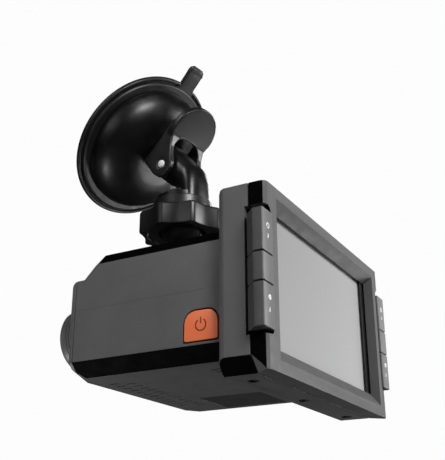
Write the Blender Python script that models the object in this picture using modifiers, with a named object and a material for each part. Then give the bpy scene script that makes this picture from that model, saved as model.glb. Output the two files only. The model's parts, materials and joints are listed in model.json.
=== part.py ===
"""Windshield radar detector with a dash camera, a rear screen and a suction mount.

The world origin is the centre of the suction cup's sealing face, the face that
sits on the windshield. +Z is up, the screen faces -Y and the lens faces +Y.

Three empties hold everything:
  device_frame  the screen's lower left front corner, axes as the world's
  mount_frame   the sealing face's centre, turned about Z with the arm
  cup_frame     the same point, +Z along the cup's axis, away from the glass
"""

import math

import bmesh
import bpy
from mathutils import Matrix, Vector

MM = 0.001


def mm(*values):
    """Millimetres as metres."""
    return tuple(value * MM for value in values)


GAP = 0.3 * MM
FAR = 200 * MM

# Display housing, in the device frame
SCREEN_W = 97.8 * MM
SCREEN_H = 56.0 * MM
SCREEN_T = 16.4 * MM
BEZEL_T = 5.5 * MM
SHELL_WALL = 1.8 * MM
FACE_FILLET = 2.0 * MM
BACK_FILLET = 2.4 * MM
LOWER_CHAMFER = 4.4 * MM

CORNER_CUT_START = 0.6 * MM

# Screen recess in the bezel: x low, x high, z low, z high
RECESS_FRONT = mm(7.4, 91.4, 3.65, 52.5)
RECESS_BACK = mm(7.8, 91.0, 7.6, 50.1)
RECESS_DEPTH = 3.0 * MM
PANEL_POCKET = mm(5.2, 92.6, 2.6, 53.4)
MASK_OPENING = mm(10.8, 87.6, 8.2, 49.9)

# Layers behind the recess, front to back
PANEL_Y = RECESS_DEPTH + 0.4 * MM
MASK_T = 0.6 * MM
LCD_T = 1.9 * MM
TRAY_T = 1.5 * MM
TRAY_INSET = 2.0 * MM
BOARD_T = 1.2 * MM
DISPLAY_BOARD = mm(12, 86, 8, 48)
DISPLAY_CHIP = mm(30, 42, 24, 36)
CHIP_T = 1.2 * MM

# Screws that close the display housing from below
SCREW_Y = 11.6 * MM
SCREW_XS = mm(13.4, 49.0, 86.6)
SCREW_PROFILE = [(0, 3.4), (0.8, 3.4), (0.8, 0.8), (1.75, 0.8), (1.75, 0.2), (0, 0.2)]
SCREW_HOLE = [(0, 3.0), (1.1, 3.0), (1.1, 1.0), (2.1, 1.0), (2.1, -1.0), (0, -1.0)]

# Corner buttons: their lower and upper ends up the screen's side
BUTTON_SPANS = {"lower": (11.0, 23.7), "middle": (24.1, 32.5), "upper": (32.9, 46.0)}
BUTTON_OUT = 3.6 * MM
BUTTON_PROUD = 0.6 * MM
BUTTON_INNER = 3.3 * MM
BUTTON_BACK = 6.2 * MM
BUTTON_SLOPE = (2.7 * MM, -0.1 * MM)
POCKET_Z = mm(9.9, 48.6)
POCKET_BACK = 7.0 * MM
POCKET_RADII = mm(1.5, 3.0)

# Body module behind the screen
BODY_X = mm(4.0, 84.6)
BODY_Y = (SCREEN_T + GAP, 72.5 * MM)
BODY_Z = mm(5.7, 46.4)
BODY_CHAMFER = 4.6 * MM
BODY_WALL = 1.8 * MM
BODY_SEAM_Z = 27.0 * MM
COVER_T = 1.4 * MM
COVER_Y = BODY_Y[1] - COVER_T
NOSE_TOP = 37.1 * MM
NOSE_ROUND = 2.0 * MM
EDGE_ROUND = 0.5 * MM
TOP_FACET = mm(62.6, 41.4)
TOP_FACET_WAY = (0.67, 0.49, 0.55)
LOW_FACET = mm(1.9, 2.8)
LOW_FACET_WAY = (0.28, 0.41, -0.87)

# Openings in the body: speaker grille, vents, label recess, front window
GRILLE_ROWS = mm(66.0, 60.6)
GRILLE_X = mm(20.0, 64.0)
GRILLE_COUNT = 12
GRILLE_SLOT = mm(1.2, 3.6)
VENT_XS = mm(17.0, 20.4, 23.8, 27.2)
VENT_Y = 24.0 * MM
VENT_SLOT = mm(1.0, 8.0)
LABEL_X = mm(55.2, 77.0)
LABEL_Y = mm(30.5, 55.0)
LABEL_DEPTH = 0.6 * MM
WINDOW = mm(36.0, 76.0, 13.0, 34.0)

# Power button on the left side
POWER_CENTRE = mm(23.8, 16.1)
POWER_SIZE = mm(11.2, 9.0)
POWER_RADIUS = 3.6 * MM
POWER_MARGIN = 0.55 * MM
POWER_PROUD = 0.1 * MM

# Lens
LENS_X = 20.5 * MM
LENS_Z = 22.0 * MM
LENS_R = 10.2 * MM
LENS_FRONT = 82.5 * MM
LENS_BACK = 64.0 * MM
GLASS_R = 4.7 * MM
GLASS_ARC = 60

# Inside the body
CARD_Y = mm(40.0, 51.0)
CARD_Z = mm(18.0, 18.9)
CARD_LENGTH = 14 * MM
CARD_PROUD = 1.0 * MM
SOCKET_SIDE = 1.6 * MM
INLET_Y = mm(26.0, 33.6)
INLET_Z = mm(16.6, 20.4)
INLET_WALL = 0.5 * MM
BOARD_Y = mm(19, 60)
BOARD_Z = mm(14.0, 15.2)
CHIPS = ((30, 42, 13), (52, 34, 9), (50, 24, 6))
CAMERA_BOARD = (mm(11.5, 61, 16.5), mm(29.5, 62.2, 32))
BATTERY = (mm(10, 24, 34), mm(40, 48, 40))
ANTENNA = (mm(50, 20, 38), mm(68, 38, 42))
HORN = (mm(48, 44, 21.5), mm(72, 68, 36.5))
HORN_WALL = 1.2 * MM
HORN_THROAT_Y = 50 * MM
HORN_THROAT_SHARE = 0.35
SPEAKER_XY = mm(42, 61)
SPEAKER_PROFILE = [
    (0, 12.6),
    (6, 12.6),
    (10, 10.4),
    (10, 8.0),
    (8.6, 8.0),
    (8.6, 9.2),
    (3.0, 10.4),
    (0, 9.6),
]

# Suction mount
CUP_TILT = math.radians(43.7)
ARM_YAW = math.radians(8.0)
NUT_X = (BODY_X[0] + BODY_X[1]) / 2
NUT_Y = 55.9 * MM
CUP_REACH = 21.4 * MM
CUP_HEIGHT = 108.1 * MM
CUP_R = 30.0 * MM
DOME_TOP = 13.8 * MM
HUB_HALF = 6.6 * MM
PIN_V = 0.4 * MM
PIN_H = 24.7 * MM
PIN_R = 1.5 * MM
CHEEK_IN = 7.1 * MM
CHEEK_OUT = 9.5 * MM
PADDLE_V = 15.9 * MM
PADDLE_R = 10.6 * MM
PADDLE_H = mm(18.8, 21.5)
ARCH_TOP = 12.4 * MM
ARCH_RADIUS = 5 * MM
BORE_R = 3.3 * MM
BORE_TOP = 29.0 * MM
PLUNGER_TRAVEL = 3.0 * MM
TAB_H = mm(0.2, 1.7)

# Ball joint and nut, heights in the device frame
BALL_R = 8.5 * MM
BALL_Z = 68.0 * MM
COLLET_R = 10.2 * MM
COLLET_WALL = 1.4 * MM
COLLET_Z = mm(65.3, 80.2)
COLLET_SLOT = 1.4 * MM
COLLET_SLOT_TOP = 72.0 * MM
CROWN_TOP = 79.0 * MM
NUT_Z = mm(63.6, 72.3)
NUT_TIP_R = 16.2 * MM
NUT_DIP_RS = mm(14.7, 14.35, 14.7)
NUT_SPREAD = 7.5
NUT_DIP_SPREAD = 7
NUT_LIP = 1.2 * MM
NUT_LOBES = 8
COLLAR_TOP = 76.6 * MM
COLLAR_R = 11.0 * MM
STEM_R = 4.0 * MM
STEM_FOOT_R = 7.0 * MM

# Dock on the body's roof
RAIL_LENGTH = 26.0 * MM
RAIL_HALF = 13.0 * MM
SHOE_HALF = 9.6 * MM
SHOE_T = 2.4 * MM
RAIL_SHIFT = 6.0 * MM
RAIL_H = 5.2 * MM
RAIL_FLOOR = 1.2 * MM
RAIL_STOP = 1.6 * MM
RAIL_LIP = 2.6 * MM
NECK_TOP = 6.6 * MM

BLACK = (0.012, 0.012, 0.013)
CHARCOAL = (0.045, 0.046, 0.048)
GREY = (0.075, 0.076, 0.080)
BOARD_LOOK = ((0.02, 0.12, 0.05), 0.4)
STEEL_LOOK = ((0.55, 0.56, 0.57), 0.3, 1.0)


# ---------------------------------------------------------------- scene

def clear_scene():
    for obj in list(bpy.data.objects):
        bpy.data.objects.remove(obj)
    for name in ("radar_detector", "cutters"):
        collection = bpy.data.collections.new(name)
        bpy.context.scene.collection.children.link(collection)


def make_frame(name, location, rotation=(0, 0, 0), parent=None):
    empty = bpy.data.objects.new(name, None)
    empty.location = location
    empty.rotation_euler = rotation
    empty.parent = parent
    bpy.data.collections["radar_detector"].objects.link(empty)
    return empty


def make_material(name, colour, roughness, metallic=0.0):
    material = bpy.data.materials.new(name)
    material.use_nodes = True
    shader = material.node_tree.nodes["Principled BSDF"]
    shader.inputs["Base Color"].default_value = (*colour, 1.0)
    shader.inputs["Roughness"].default_value = roughness
    shader.inputs["Metallic"].default_value = metallic
    return material


def part_of(mesh, name, parent, look, location=(0, 0, 0)):
    """A visible sub-part, with its own material."""
    obj = bpy.data.objects.new(name, mesh)
    obj.data.materials.clear()
    obj.data.materials.append(make_material(name, *look))
    obj.parent = parent
    obj.location = location
    bpy.data.collections["radar_detector"].objects.link(obj)
    return obj


def cutter_of(mesh, name, parent, location=(0, 0, 0), rotation=(0, 0, 0)):
    """A helper solid that Booleans read and nobody sees."""
    obj = bpy.data.objects.new(name + "_cutter", mesh)
    obj.parent = parent
    obj.location = location
    obj.rotation_euler = rotation
    obj.hide_render = True
    obj.display_type = "WIRE"
    bpy.data.collections["cutters"].objects.link(obj)
    return obj


# --------------------------------------------------------------- shapes

def mesh_from(bm, name):
    bmesh.ops.recalc_face_normals(bm, faces=bm.faces)
    if bm.calc_volume(signed=True) < 0:
        bmesh.ops.reverse_faces(bm, faces=bm.faces)
    mesh = bpy.data.meshes.new(name)
    bm.to_mesh(mesh)
    bm.free()
    return mesh


def block_bmesh(low, high):
    bm = bmesh.new()
    low, high = Vector(low), Vector(high)
    size = high - low
    place = Matrix.Translation((low + high) / 2) @ Matrix.Diagonal((*size, 1.0))
    bmesh.ops.create_cube(bm, size=1.0, matrix=place)
    return bm


def block(low, high):
    return mesh_from(block_bmesh(low, high), "block")


def block_part(name, parent, look, low, high):
    return part_of(block(low, high), name, parent, look)


def in_metres(profile):
    return [(radius * MM, height * MM) for radius, height in profile]


def trimmed_block(low, high, planes):
    """A block with everything outside each (point, outward direction) plane cut off."""
    bm = block_bmesh(low, high)
    for point, outward in planes:
        geometry = bm.verts[:] + bm.edges[:] + bm.faces[:]
        cut = bmesh.ops.bisect_plane(
            bm, geom=geometry, plane_co=point, plane_no=outward, clear_outer=True
        )
        edges = [item for item in cut["geom_cut"] if isinstance(item, bmesh.types.BMEdge)]
        if edges:
            bmesh.ops.edgenet_fill(bm, edges=edges)
    return mesh_from(bm, "trimmed")


def rod(radius, low, high, axis="Z", sides=32, far_radius=None):
    """A cylinder, or a cone where far_radius is given, between two places on an axis."""
    bm = bmesh.new()
    bmesh.ops.create_cone(
        bm,
        cap_ends=True,
        segments=sides,
        radius1=radius,
        radius2=radius if far_radius is None else far_radius,
        depth=high - low,
        matrix=Matrix.Translation((0, 0, (low + high) / 2)),
    )
    turns = {"X": (math.pi / 2, "Y"), "Y": (-math.pi / 2, "X"), "Z": (0.0, "Z")}
    angle, about = turns[axis]
    bmesh.ops.rotate(bm, verts=bm.verts, matrix=Matrix.Rotation(angle, 3, about))
    return mesh_from(bm, "rod")


def arc(centre, radius, start, end, steps):
    """Points of an arc, from start to end in degrees."""
    found = []
    for index in range(steps + 1):
        angle = math.radians(start + (end - start) * index / steps)
        x = centre[0] + radius * math.cos(angle)
        y = centre[1] + radius * math.sin(angle)
        found.append((x, y))
    return found


def rounded(corners, steps=4):
    """An outline from (x, y, radius) corners, each rounded by a tangent arc."""
    found = []
    count = len(corners)
    for index, (x, y, radius) in enumerate(corners):
        here = Vector((x, y))
        if radius <= 0:
            found.append(tuple(here))
            continue
        before = (Vector(corners[index - 1][:2]) - here).normalized()
        after = (Vector(corners[(index + 1) % count][:2]) - here).normalized()
        half = before.angle(after) / 2
        start = here + before * radius / math.tan(half)
        end = here + after * radius / math.tan(half)
        centre = here + (before + after).normalized() * radius / math.sin(half)
        first = start - centre
        turn = first.angle_signed(end - centre)
        for step in range(steps + 1):
            spin = Matrix.Rotation(-turn * step / steps, 2)
            found.append(tuple(centre + spin @ first))
    return found


def slab(outline, low, high, axis="Z"):
    """A flat outline given a thickness along an axis, between low and high.

    The outline's plane is XY for axis Z, XZ for axis Y and YZ for axis X.
    """
    curve = bpy.data.curves.new("outline", "CURVE")
    curve.dimensions = "2D"
    curve.fill_mode = "BOTH"
    curve.extrude = (high - low) / 2
    spline = curve.splines.new("POLY")
    spline.points.add(len(outline) - 1)
    for point, (x, y) in zip(spline.points, outline):
        point.co = (x, y, 0, 1)
    spline.use_cyclic_u = True
    guide = bpy.data.objects.new("outline", curve)
    bpy.context.scene.collection.objects.link(guide)
    bpy.context.view_layer.update()
    graph = bpy.context.evaluated_depsgraph_get()
    mesh = bpy.data.meshes.new_from_object(guide.evaluated_get(graph))
    bpy.data.objects.remove(guide)
    bm = bmesh.new()
    bm.from_mesh(mesh)
    bmesh.ops.remove_doubles(bm, verts=bm.verts, dist=1e-6)
    bmesh.ops.translate(bm, verts=bm.verts, vec=(0, 0, (low + high) / 2))
    for vert in bm.verts:
        x, y, z = vert.co
        vert.co = {"Z": (x, y, z), "Y": (x, z, y), "X": (z, x, y)}[axis]
    return mesh_from(bm, "slab")


def turned(name, profile, parent, look=None, steps=32, location=(0, 0, 0), rotation=(0, 0, 0)):
    """A profile of (radius, height) points turned about the frame's Z.

    The profile runs down its outer side and back up its inner one or the axis.
    """
    mesh = bpy.data.meshes.new(name)
    points = [(radius, 0, height) for radius, height in profile]
    closed = profile[0][0] > 0
    edges = [(index, index + 1) for index in range(len(points) - 1)]
    if closed:
        edges.append((len(points) - 1, 0))
    mesh.from_pydata(points, edges, [])
    if look is None:
        obj = cutter_of(mesh, name, parent, location, rotation)
    else:
        obj = part_of(mesh, name, parent, look, location)
        obj.rotation_euler = rotation
    screw = obj.modifiers.new("turn", "SCREW")
    screw.steps = steps
    screw.render_steps = steps
    screw.use_merge_vertices = True
    screw.merge_threshold = 1e-5
    return obj


def boolean(obj, other, operation):
    modifier = obj.modifiers.new(other.name, "BOOLEAN")
    modifier.operation = operation
    modifier.object = other
    modifier.solver = "EXACT"
    return obj


def cut(obj, mesh, location=(0, 0, 0), rotation=(0, 0, 0)):
    name = f"{obj.name}_{len(obj.modifiers)}"
    return boolean(obj, cutter_of(mesh, name, obj.parent, location, rotation), "DIFFERENCE")


def keep(obj, mesh):
    name = f"{obj.name}_{len(obj.modifiers)}"
    return boolean(obj, cutter_of(mesh, name, obj.parent), "INTERSECT")


def add(obj, mesh, location=(0, 0, 0), rotation=(0, 0, 0)):
    name = f"{obj.name}_{len(obj.modifiers)}"
    return boolean(obj, cutter_of(mesh, name, obj.parent, location, rotation), "UNION")


def use_manifold_solver(obj):
    """For shells where the exact solver leaves open edges along the rounded rims."""
    for modifier in obj.modifiers:
        if modifier.type == "BOOLEAN":
            modifier.solver = "MANIFOLD"
    return obj


def round_edges(obj, width=EDGE_ROUND, segments=2, only=None):
    """Bevels the sharp edges, or each edge by the share of the width that only gives it."""
    bevel = obj.modifiers.new("round", "BEVEL")
    bevel.width = width
    bevel.segments = segments
    bevel.limit_method = "ANGLE"
    if only:
        bevel.limit_method = "WEIGHT"
        weights = obj.data.attributes.new("bevel_weight_edge", "FLOAT", "EDGE")
        points = obj.data.vertices
        for edge in obj.data.edges:
            first, last = (points[index].co for index in edge.vertices)
            weights.data[edge.index].value = float(only(first, last))
    return obj


def smooth(obj):
    obj.data.shade_smooth()
    obj.data.set_sharp_from_angle(angle=math.radians(35))
    return obj


# -------------------------------------------------------------- display

def mirrored(x):
    return SCREEN_W - x


def corner_cut_planes(x, z, chamfer):
    """The left and right lower chamfers of a box from x to its mirror, floor at z."""
    left = (Vector((x + chamfer, 0, z)), Vector((-1, 0, -1)))
    right = (Vector((mirrored(x) - chamfer, 0, z)), Vector((1, 0, -1)))
    return [left, right]


def button_pockets(obj):
    low, high = POCKET_Z
    inner = BUTTON_INNER + GAP
    low_radius, high_radius = POCKET_RADII
    corners = [(-MM, low, 0), (inner, low, low_radius), (inner, high, high_radius), (-MM, high, 0)]
    outline = rounded(corners)
    right = [(mirrored(x), z) for x, z in reversed(outline)]
    for side in (outline, right):
        cut(obj, slab(side, -MM, POCKET_BACK, "Y"))


def make_front_bezel(device):
    look = (GREY, 0.35)
    body = block((0, 0, 0), (SCREEN_W, BEZEL_T, SCREEN_H))
    obj = part_of(body, "front_bezel", device, look)

    def front_corner(first, last):
        return max(first.y, last.y) < BEZEL_T / 2 and abs(first.z - last.z) > SCREEN_H / 2

    round_edges(obj, FACE_FILLET, 3, front_corner)
    for side in (1, -1):
        wedge_x = 0 if side == 1 else SCREEN_W
        edge = Vector((wedge_x, CORNER_CUT_START, 0))
        top = Vector((wedge_x, BEZEL_T, LOWER_CHAMFER))
        foot = Vector((wedge_x + side * LOWER_CHAMFER, BEZEL_T, 0))
        outward = (top - edge).cross(foot - edge) * side
        far = 8 * MM
        corner = (-far if side == 1 else SCREEN_W - far, -1 * MM, -far)
        limit = (far if side == 1 else SCREEN_W + far, BEZEL_T + MM, far)
        cut(obj, trimmed_block(corner, limit, [(edge, -outward)]))
    cut(obj, recess_mesh())
    x_low, x_high, z_low, z_high = PANEL_POCKET
    cut(obj, block((x_low, PANEL_Y, z_low), (x_high, BEZEL_T + MM, z_high)))
    button_pockets(obj)
    return smooth(obj)


def recess_mesh():
    """The sloped well in front of the screen: a block tapered towards its back."""
    front, back = RECESS_FRONT, RECESS_BACK
    over = 1 * MM
    x_low, x_high, z_low, z_high = back
    bm = block_bmesh((x_low, -over, z_low), (x_high, RECESS_DEPTH + over, z_high))
    for vert in bm.verts:
        share = 1 - vert.co.y / RECESS_DEPTH
        column = 0 if vert.co.x < SCREEN_W / 2 else 1
        row = 2 if vert.co.z < SCREEN_H / 2 else 3
        vert.co.x += (front[column] - back[column]) * share
        vert.co.z += (front[row] - back[row]) * share
    return mesh_from(bm, "recess")


def display_hull(inset, y_low, y_high):
    low = (inset, y_low, inset)
    high = (SCREEN_W - inset, y_high, SCREEN_H - inset)
    chamfer = LOWER_CHAMFER - inset * (2 - math.sqrt(2))
    return trimmed_block(low, high, corner_cut_planes(inset, inset, chamfer))


def make_rear_shell(device):
    front = BEZEL_T + GAP
    obj = part_of(display_hull(0, front, SCREEN_T), "rear_shell", device, (GREY, 0.45))

    def back_upright(first, last):
        tall = abs(first.z - last.z) > SCREEN_H / 2
        across = min(first.z, last.z) > SCREEN_H - MM and abs(first.x - last.x) > MM
        return min(first.y, last.y) > SCREEN_T - MM and (tall or across)

    round_edges(obj, BACK_FILLET, 3, back_upright)
    cut(obj, display_hull(SHELL_WALL, front - MM, SCREEN_T - SHELL_WALL))
    button_pockets(obj)
    x_low, x_high = BODY_X
    margin = 8 * MM
    z_low, z_high = BODY_Z
    window_low = (x_low + margin, SCREEN_T - 4 * MM, z_low + margin)
    window_high = (x_high - margin, SCREEN_T + MM, z_high - margin)
    cut(obj, block(window_low, window_high))
    points = in_metres(SCREW_HOLE)
    for index, x in enumerate(SCREW_XS, 1):
        hole = turned(f"screw_hole_{index}", points, device, None, 16, (x, SCREW_Y, 0))
        boolean(obj, hole, "DIFFERENCE")
    return smooth(obj)


def make_case_screws(device):
    """Three short screws that close the display housing from below."""
    points = in_metres(SCREW_PROFILE)
    look = (CHARCOAL, 0.4, 0.8)
    for index, x in enumerate(SCREW_XS, 1):
        smooth(turned(f"case_screw_{index}", points, device, look, 16, (x, SCREW_Y, 0)))


def make_screen(device):
    """Mask, panel, backlight tray and board, one behind the other."""
    x_low, x_high, z_low, z_high = PANEL_POCKET
    low = Vector((x_low + GAP, 0, z_low + GAP))
    high = Vector((x_high - GAP, 0, z_high - GAP))
    inset = Vector((TRAY_INSET, 0, TRAY_INSET))
    left, right, floor, roof = MASK_OPENING
    mask_y = PANEL_Y + GAP
    lcd_y = mask_y + MASK_T + GAP
    tray_y = lcd_y + LCD_T + GAP
    board_y = tray_y + TRAY_T + GAP

    def layer(name, look, y, thick, low, high):
        return block_part(name, device, look, (low.x, y, low.z), (high.x, y + thick, high.z))

    mask = layer("screen_mask", (BLACK, 0.2), mask_y, MASK_T, low, high)
    cut(mask, block((left, 0, floor), (right, FAR, roof)))
    layer("lcd_panel", ((0.25, 0.25, 0.26), 0.15), lcd_y, LCD_T, low, high)
    layer("backlight_tray", STEEL_LOOK, tray_y, TRAY_T, low + inset, high - inset)
    x_low, x_high, z_low, z_high = DISPLAY_BOARD
    low = Vector((x_low, 0, z_low))
    high = Vector((x_high, 0, z_high))
    board = layer("display_board", BOARD_LOOK, board_y, BOARD_T, low, high)
    x_low, x_high, z_low, z_high = DISPLAY_CHIP
    chip_y = board_y + BOARD_T
    add(board, block((x_low, chip_y - 0.2 * MM, z_low), (x_high, chip_y + CHIP_T, z_high)))


def make_corner_buttons(device):
    """Three buttons on each side, wrapped round the bezel's corner."""
    slope_start, slope_end = BUTTON_SLOPE
    for side in ("left", "right"):
        for place, (low, high) in BUTTON_SPANS.items():
            outline = rounded(
                [
                    (BUTTON_INNER, -BUTTON_PROUD, 0.3 * MM),
                    (-BUTTON_OUT, -BUTTON_PROUD, 0.5 * MM),
                    (-BUTTON_OUT, slope_start, 0.4 * MM),
                    (slope_end, BUTTON_BACK, 0),
                    (BUTTON_INNER, BUTTON_BACK, 0),
                ],
                2,
            )
            if side == "right":
                outline = [(mirrored(x), y) for x, y in reversed(outline)]
            middle = (low + high) / 2 * MM
            half = (high - low) / 2 * MM
            name = f"{side}_{place}_button"
            mesh = slab(outline, -half, half)
            smooth(part_of(mesh, name, device, (CHARCOAL, 0.35), (0, 0, middle)))


# ----------------------------------------------------------------- body

def body_planes(inset):
    """The body's long chamfers and its four front corner facets, moved inwards by inset."""
    x_low, x_high = BODY_X
    y_high = BODY_Y[1]
    z_low, z_high = BODY_Z
    planes = []
    for side, x in ((-1, x_low), (1, x_high)):
        long_low = (Vector((x - side * BODY_CHAMFER, 0, z_low)), Vector((side, 0, -1)))
        long_high = (Vector((x - side * BODY_CHAMFER, 0, z_high)), Vector((side, 0, 1)))
        out, forward, up = TOP_FACET_WAY
        top_corner = (Vector((x, *TOP_FACET)), Vector((side * out, forward, up)))
        out, forward, up = LOW_FACET_WAY
        low_point = Vector((x - side * LOW_FACET[0], y_high, z_low + LOW_FACET[1]))
        low_corner = (low_point, Vector((side * out, forward, up)))
        planes += [long_low, long_high, top_corner, low_corner]
    return [(point - outward.normalized() * inset, outward) for point, outward in planes]


def body_hull(inset=0.0):
    """The body's outer form, run on behind its back rim, which is cut square later."""
    low = (BODY_X[0] + inset, BODY_Y[0] - BODY_CHAMFER, BODY_Z[0] + inset)
    high = (BODY_X[1] - inset, BODY_Y[1] + inset, BODY_Z[1] - inset)
    return trimmed_block(low, high, body_planes(inset))


def body_piece(name, device, look, low, high):
    """The stretch of the body's outer form between two corners of a box."""
    obj = part_of(body_hull(), name, device, look)
    round_edges(obj)
    y_high = BODY_Y[1]
    middle_y = (BODY_Y[0] + y_high) / 2
    floor = NOSE_TOP / 2
    corners = [
        (middle_y, floor, 0),
        (y_high, floor, 0),
        (y_high, NOSE_TOP, NOSE_ROUND),
        (middle_y, NOSE_TOP, 0),
    ]
    add(obj, slab(rounded(corners), BODY_X[0], BODY_X[1], "X"))
    keep(obj, block(low, high))
    return obj


def make_upper_shell(device):
    low = (-FAR, BODY_Y[0], BODY_SEAM_Z + GAP / 2)
    obj = body_piece("upper_shell", device, (GREY, 0.45), low, (FAR, COVER_Y - GAP, FAR))
    cut(obj, body_hull(BODY_WALL))
    return smooth(use_manifold_solver(obj))


def floor_slot(x, y, size):
    """A cutter through the body's floor."""
    half_x, half_y = size[0] / 2, size[1] / 2
    floor = BODY_Z[0]
    return block((x - half_x, y - half_y, floor - MM), (x + half_x, y + half_y, floor + 3 * MM))


def side_port(y_span, z_span):
    """A cutter through the body's right wall, a gap wider than what goes in it."""
    right = BODY_X[1]
    low = (right - 4 * MM, y_span[0] - GAP, z_span[0] - GAP)
    high = (right + MM, y_span[1] + GAP, z_span[1] + GAP)
    return block(low, high)


def make_lower_shell(device):
    high = (FAR, COVER_Y - GAP, BODY_SEAM_Z - GAP / 2)
    obj = body_piece("lower_shell", device, (GREY, 0.45), (-FAR, BODY_Y[0], -FAR), high)
    cut(obj, body_hull(BODY_WALL))
    pitch = (GRILLE_X[1] - GRILLE_X[0]) / (GRILLE_COUNT - 1)
    for row, y in enumerate(GRILLE_ROWS):
        for index in range(GRILLE_COUNT):
            x = GRILLE_X[0] + pitch * (index + row * 0.5)
            cut(obj, floor_slot(x, y, GRILLE_SLOT))
    for x in VENT_XS:
        cut(obj, floor_slot(x, VENT_Y, VENT_SLOT))
    cut(obj, power_slab(POWER_MARGIN, BODY_X[0] - MM, BODY_X[0] + 4 * MM))
    cut(obj, label_block(0.0, BODY_Z[0] - MM, BODY_Z[0] + LABEL_DEPTH))
    cut(obj, side_port(CARD_Y, CARD_Z))
    cut(obj, side_port(INLET_Y, INLET_Z))
    return smooth(use_manifold_solver(obj))


def label_block(inset, low, high):
    x_low, x_high = LABEL_X
    y_low, y_high = LABEL_Y
    return block((x_low + inset, y_low + inset, low), (x_high - inset, y_high - inset, high))


def make_label_plate(device):
    floor = BODY_Z[0]
    mesh = label_block(GAP, floor + 0.1 * MM, floor + 0.35 * MM)
    return part_of(mesh, "label_plate", device, (CHARCOAL, 0.6))


def power_slab(margin, low, high):
    y, z = POWER_CENTRE
    half_y = POWER_SIZE[0] / 2 + margin
    half_z = POWER_SIZE[1] / 2 + margin
    radius = POWER_RADIUS + margin
    corners = [
        (y - half_y, z - half_z, 0.5 * MM),
        (y + half_y, z - half_z, 0.5 * MM),
        (y + half_y, z + half_z, radius),
        (y - half_y, z + half_z, radius),
    ]
    return slab(rounded(corners), low, high, "X")


def make_power_button(device):
    x = BODY_X[0]
    orange = ((0.85, 0.17, 0.08), 0.4)
    mesh = power_slab(0, x - POWER_PROUD, x + 2.6 * MM)
    obj = part_of(mesh, "power_button", device, orange)
    round_edges(obj, 0.35 * MM, 2)
    return smooth(obj)


def make_front_cover(device):
    obj = body_piece("front_cover", device, (GREY, 0.4), (-FAR, COVER_Y, -FAR), (FAR, FAR, FAR))
    cut(obj, rod(LENS_R + GAP, 0, FAR, "Y", 32), (LENS_X, 0, LENS_Z))
    x_low, x_high, z_low, z_high = WINDOW
    cut(obj, block((x_low, 0, z_low), (x_high, FAR, z_high)))
    return smooth(use_manifold_solver(obj))


def make_radar_window(device):
    """The dark panel that the radar and the infrared receiver look through."""
    x_low, x_high, z_low, z_high = WINDOW
    low = (x_low + GAP, COVER_Y - 0.2 * MM, z_low + GAP)
    high = (x_high - GAP, BODY_Y[1] + 0.3 * MM, z_high - GAP)
    obj = part_of(block(low, high), "radar_window", device, (BLACK, 0.12))
    return smooth(round_edges(obj, 0.4 * MM, 2))


def make_lens(device):
    """Barrel, trim ring and front glass, turned about the lens axis."""
    place = (LENS_X, 0, LENS_Z)
    forward = (-math.pi / 2, 0, 0)
    front = LENS_FRONT
    barrel = [
        (0, front - 4 * MM),
        (6.6 * MM, front - 4 * MM),
        (8.4 * MM, front),
        (9.0 * MM, front),
        (LENS_R - 0.35 * MM, front - 0.9 * MM),
        (LENS_R, front - 2.2 * MM),
        (LENS_R, LENS_BACK),
        (0, LENS_BACK),
    ]
    smooth(turned("lens_barrel", barrel, device, (CHARCOAL, 0.35), 32, place, forward))
    ring = [
        (6.2 * MM, front - 2.6 * MM),
        (6.4 * MM, front - 3.7 * MM),
        (5.0 * MM, front - 3.7 * MM),
        (5.0 * MM, front - 2.6 * MM),
    ]
    smooth(turned("lens_ring", ring, device, ((0.35, 0.35, 0.36), 0.25, 1.0), 32, place, forward))
    glass = [(0, front - 2.0 * MM)]
    for step in range(1, 5):
        angle = math.radians(GLASS_ARC * step / 4)
        reach = GLASS_R * math.sin(angle) / math.sin(math.radians(GLASS_ARC))
        glass.append((reach, front - 3.6 * MM + 1.6 * MM * math.cos(angle)))
    glass += [(GLASS_R, front - 3.7 * MM), (0, front - 3.7 * MM)]
    smooth(turned("lens_glass", glass, device, ((0.05, 0.06, 0.10), 0.05), 32, place, forward))


# ------------------------------------------------------- inside the body

def make_main_board(device):
    low = (BODY_X[0] + 5 * MM, BOARD_Y[0], BOARD_Z[0])
    high = (BODY_X[1] - 3 * MM, BOARD_Y[1], BOARD_Z[1])
    board = block_part("main_board", device, BOARD_LOOK, low, high)
    top = BOARD_Z[1]
    for x, y, size in CHIPS:
        corner = (x * MM, y * MM, top - 0.2 * MM)
        add(board, block(corner, ((x + size) * MM, (y + size) * MM, top + CHIP_T)))


def make_card(device):
    """The memory card and its socket, which open on the right side."""
    right = BODY_X[1]
    low = (right - CARD_LENGTH, CARD_Y[0], CARD_Z[0])
    high = (right + CARD_PROUD, CARD_Y[1], CARD_Z[1])
    block_part("memory_card", device, (BLACK, 0.3), low, high)
    low = (right - CARD_LENGTH - 4 * MM, CARD_Y[0] - SOCKET_SIDE, BOARD_Z[1] + GAP)
    high = (right - 4.2 * MM, CARD_Y[1] + SOCKET_SIDE, CARD_Z[1] + MM)
    socket = block_part("card_socket", device, STEEL_LOOK, low, high)
    low = (right - CARD_LENGTH - MM, CARD_Y[0] - GAP, CARD_Z[0] - GAP)
    high = (right + MM, CARD_Y[1] + GAP, CARD_Z[1] + GAP)
    cut(socket, block(low, high))


def make_inlet(device):
    """The open shell of the power socket."""
    right = BODY_X[1]
    y_low, y_high = INLET_Y
    z_low, z_high = INLET_Z
    low = (right - 9 * MM, y_low, z_low)
    inlet = block_part("power_inlet", device, STEEL_LOOK, low, (right - 0.2 * MM, y_high, z_high))
    low = (right - 7 * MM, y_low + INLET_WALL, z_low + INLET_WALL)
    cut(inlet, block(low, (right + MM, y_high - INLET_WALL, z_high - INLET_WALL)))


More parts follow.
